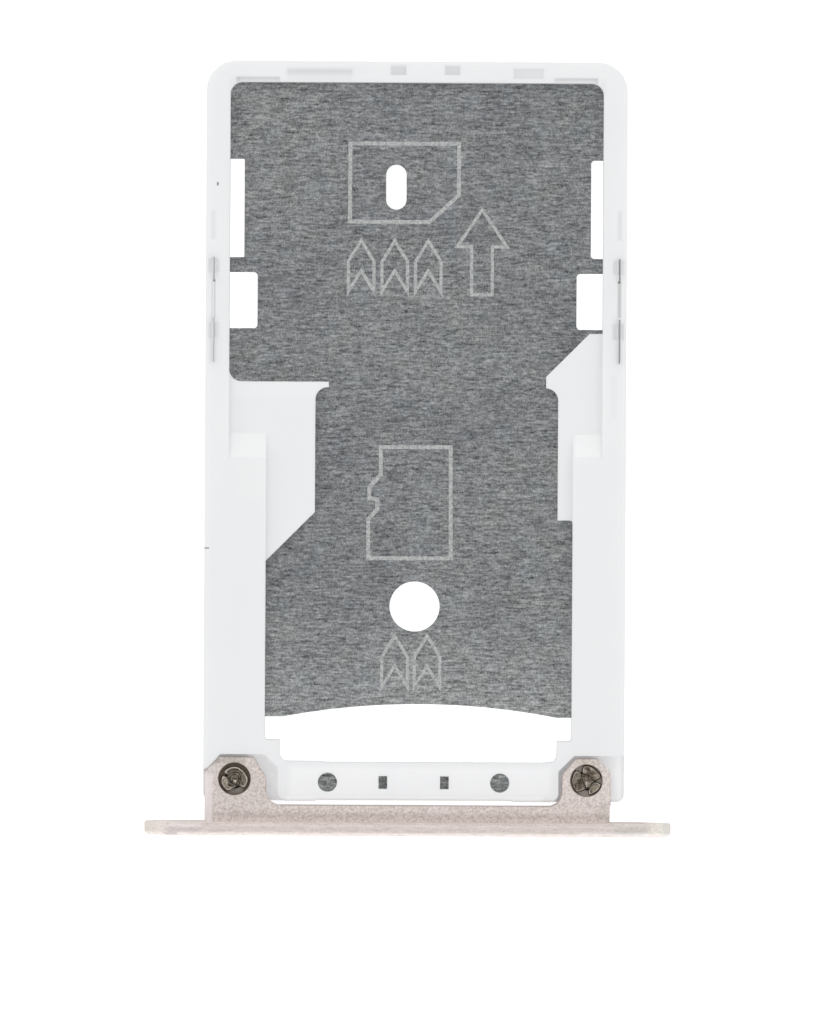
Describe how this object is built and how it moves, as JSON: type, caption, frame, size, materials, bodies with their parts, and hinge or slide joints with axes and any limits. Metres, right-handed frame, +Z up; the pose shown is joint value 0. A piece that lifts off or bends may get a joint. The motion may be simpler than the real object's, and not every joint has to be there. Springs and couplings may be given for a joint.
{
  "type": "sim card tray",
  "caption": "Phone card tray: a moulded frame on a stamped steel sheet with bays for a micro SIM and for a nano SIM or memory card, and a riveted metal face with an eject hole.",
  "frame": {"origin": "middle of the tray's length and width, level with the lower edge of the face", "axes": "+Z up to the side that the cards are laid in from, +Y the way the tray slides into the phone, so the face is at -Y and its outer surface looks along -Y; +X to the right seen from the face"},
  "size_m": [0.0214, 0.0314, 0.0029],
  "materials": {
    "sheet_steel": "fine straight brushing across the sheet",
    "white_plastic": "smooth moulded white",
    "anodised_face": "bead-blasted and anodised pale champagne",
    "dark_rivet": "dark plated"
  },
  "bodies": {
    "root": {"steel_plate": "sheet_steel", "plastic_frame": "white_plastic", "face": "anodised_face", "left_rivet": "dark_rivet", "right_rivet": "dark_rivet"}
  },
  "joints": []
}
